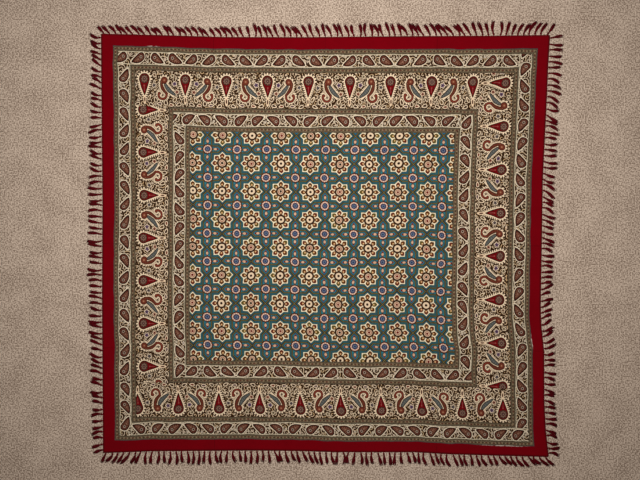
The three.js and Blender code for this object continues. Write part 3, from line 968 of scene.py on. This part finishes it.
# Each edge's first corner as shares of the width and depth, its way along and its way out.
EDGE_LINES = {
    "left": {"corner": (0, 0), "way": (0, 1), "out": (-1, 0), "size": CLOTH_DEPTH},
    "right": {"corner": (1, 0), "way": (0, 1), "out": (1, 0), "size": CLOTH_DEPTH},
    "bottom": {"corner": (0, 0), "way": (1, 0), "out": (0, -1), "size": CLOTH_WIDTH},
    "top": {"corner": (0, 1), "way": (1, 0), "out": (0, 1), "size": CLOTH_WIDTH},
}


def edge_point(line, at):
    """A point of the cloth's laid edge at a share of the way along it, in mm."""
    across, up = (corner + way * at for corner, way in zip(line["corner"], line["way"]))
    return np.array(laid(across, up)) + shift


def scatter(index, kind):
    """An even scatter from -1 to 1 that is the same each time."""
    wide = math.sin(index * 12.9898 + kind * 78.233) * 43758.5453
    return 2 * (wide - math.floor(wide)) - 1


class Yarns:
    """Many lengths of yarn gathered into one mesh. Each point keeps how far round and along it is."""

    def __init__(self):
        self.points, self.faces, self.lie = [], [], []

    def add(self, path, radii, sides, tone, flatten=1.0):
        """One yarn along a path in mm, with a radius at each of its points."""
        path = np.asarray(path, dtype=float)
        ways = np.gradient(path, axis=0)
        ways /= np.linalg.norm(ways, axis=1, keepdims=True)
        side = np.cross(ways, (0.0, 0.0, 1.0))
        side /= np.maximum(np.linalg.norm(side, axis=1, keepdims=True), 1e-9)
        over = np.cross(side, ways)
        gone = np.concatenate([[0.0], np.cumsum(np.linalg.norm(np.diff(path, axis=0), axis=1))])
        start = len(self.points)
        for ring, (middle, radius) in enumerate(zip(path, radii)):
            for step in range(sides):
                turn = 2 * math.pi * step / sides
                off = side[ring] * math.cos(turn) + over[ring] * math.sin(turn) * flatten
                self.points.append(tuple((middle + off * radius) / 1000))
                self.lie.append((step / sides, gone[ring], tone))
        for ring in range(len(path) - 1):
            low = start + ring * sides
            for step in range(sides):
                turn = (step + 1) % sides
                self.faces.append((low + step, low + turn, low + sides + turn, low + sides + step))
        self.faces.append(tuple(range(start + sides - 1, start - 1, -1)))
        self.faces.append(tuple(range(start + (len(path) - 1) * sides, start + len(path) * sides)))


# The twisted stem, which thickens out of the tape over the first part of a tassel's length.
PLY_RADIUS, PLY_START_RADIUS = 1.3, 0.3
PLY_OFFSET = 1.1
PLY_TWIST = 8.5
PLY_SIDES = 5
STEM_SHARE = 0.4
STEM_STEPS = 12
STEM_FULL = 0.14

# The loose yarns of the tuft, which start inside the stem's end.
TUFT_YARNS = 15
TUFT_STEPS = 8
TUFT_OVERLAP = 0.06
TUFT_UNEVEN = 0.09
NECK_HALF_WIDTH = 1.4
TUFT_HALF_WIDTH = 3.8
YARN_RADIUS, YARN_TAPER = 0.8, 0.24
YARN_SIDES = 3


def add_tassel(yarns, root, out, way, outward, sideways, seed):
    """One tassel: two plies twisted round each other, then the loose yarns of its tuft."""
    tone = scatter(seed, 31)
    curl = CURL * scatter(seed, 23)

    def middle(at):
        gone = at * (outward + TASSEL_END - TASSEL_START)
        return root + out * gone + way * (sideways * at**BEND + curl * math.sin(math.pi * at))

    def across(at):
        ahead = middle(at + 0.02) - middle(at - 0.02 if at > 0.02 else at)
        side = np.array((ahead[1], -ahead[0]))
        return side / np.linalg.norm(side)

    for ply in (0, math.pi):
        path, radii = [], []
        for at in np.linspace(0, STEM_SHARE, STEM_STEPS):
            turn = ply + 2 * math.pi * at * outward / PLY_TWIST
            full = min(1, 0.1 + at / STEM_FULL)
            offset = across(at) * (full * PLY_OFFSET * math.cos(turn))
            height = 0.4 + full * (1.45 + 0.5 * math.sin(turn))
            path.append((*(middle(at) + offset), height))
            radii.append(PLY_START_RADIUS + full * (PLY_RADIUS - PLY_START_RADIUS))
        yarns.add(path, radii, PLY_SIDES, tone)
    for strand in range(TUFT_YARNS):
        place = (strand + 0.5) / TUFT_YARNS * 2 - 1
        stray = scatter(seed * 17 + strand, 3)
        reach = 1 + TUFT_UNEVEN * scatter(seed * 13 + strand, 5)
        high = 0.55 + 2.4 * (0.5 + 0.5 * scatter(seed * 7 + strand, 9)) * (1 - place * place)
        path, radii = [], []
        for step in np.linspace(0, 1, TUFT_STEPS):
            at = STEM_SHARE - TUFT_OVERLAP + (reach - STEM_SHARE + TUFT_OVERLAP) * step
            full = math.sin(min(1, step * 1.5) * math.pi / 2) * (1 - 0.3 * step**4)
            spread = (NECK_HALF_WIDTH + (TUFT_HALF_WIDTH - NECK_HALF_WIDTH) * full) * place
            spread += 0.7 * stray * step * step
            height = 1.5 * (1 - step) ** 2 + high * (1 - (1 - step) ** 2) + 0.1
            path.append((*(middle(at) + across(at) * spread), height))
            radii.append(YARN_RADIUS - YARN_TAPER * step)
        yarns.add(path, radii, YARN_SIDES, tone + 0.4 * stray)


# The tape, of which most is tucked under the rim.
TAPE_TUCK, TAPE_SHOWN = 2.0, 1.3
TAPE_STEP, TAPE_SIDES = 2.6, 10
TAPE_MIDDLE, TAPE_FLATNESS, TAPE_TONE = 0.5, 0.26, 0.4
YARN_RED, YARN_BRIGHT_RED = (86, 2, 12), (116, 3, 15)
YARN_TWIST, YARN_RELIEF = 1.6, 0.00015

fringe_cotton, shader = finish_of("fringe cotton", 0.9, 0.03)
around, along, tone = place_of(shader, "lie")
# The twist's helical ridges and grooves: relief for the bump, and also painted highlight and shade along
# them in the yarn's colour.
twist_relief_and_shade = ((along / YARN_TWIST + around) * (2 * math.pi)).math("SINE")
fuzz = mottle(along, around * 6, 1.4, 2.0, 4)
shade = 0.85 + tone * 0.1 + twist_relief_and_shade * 0.06 + (fuzz - 0.5) * 0.4
red = dyed(YARN_RED, fuzz.ramp(0.35, 0.7), YARN_BRIGHT_RED)
feed(shader, "Base Color", shaded(red, shade))
bumped(shader, twist_relief_and_shade + fuzz, YARN_RELIEF)

for kind, (name, line) in enumerate(EDGE_LINES.items()):
    out, way = np.array(line["out"], dtype=float), np.array(line["way"], dtype=float)
    yarns = Yarns()
    path = []
    for place in np.linspace(0, line["size"], round(line["size"] / TAPE_STEP)):
        edge = edge_point(line, place / line["size"])
        path.append((*(edge + out * (TAPE_SHOWN - TAPE_TUCK) / 2), TAPE_MIDDLE))
    tape_radii = [(TAPE_SHOWN + TAPE_TUCK) / 2] * len(path)
    yarns.add(path, tape_radii, TAPE_SIDES, TAPE_TONE, TAPE_FLATNESS)
    run = line["size"] - 2 * FIRST_TASSEL
    count = round(run / TASSEL_PITCH) + 1
    tip_before = -math.inf
    for index in range(count):
        place = FIRST_TASSEL + run * index / (count - 1)
        at = place / line["size"]
        reach = np.interp(at, LENGTHS[name]["at"], LENGTHS[name]["length"])
        reach *= 1 + LENGTH_SPREAD * scatter(index, kind)
        lean = np.interp(at, LEANS[name]["at"], LEANS[name]["lean"])
        lean += LEAN_SPREAD * scatter(index, kind + 7)
        tip = max(place + reach * math.sin(math.radians(lean)), tip_before + LEAST_TIP_SPACING)
        tip_before = tip
        tip += STRAY * scatter(index, kind + 40)
        root = edge_point(line, at) + out * TASSEL_START
        outward = reach * math.cos(math.radians(lean))
        add_tassel(yarns, root, out, way, outward, tip - place, index + 100 * kind)
    fringe = mesh_object(f"tassels_{name}", yarns.points, yarns.faces, lie=yarns.lie)
    fringe.data.materials.append(fringe_cotton)
    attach(fringe, "root")
    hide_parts(f"fringe_{name}")
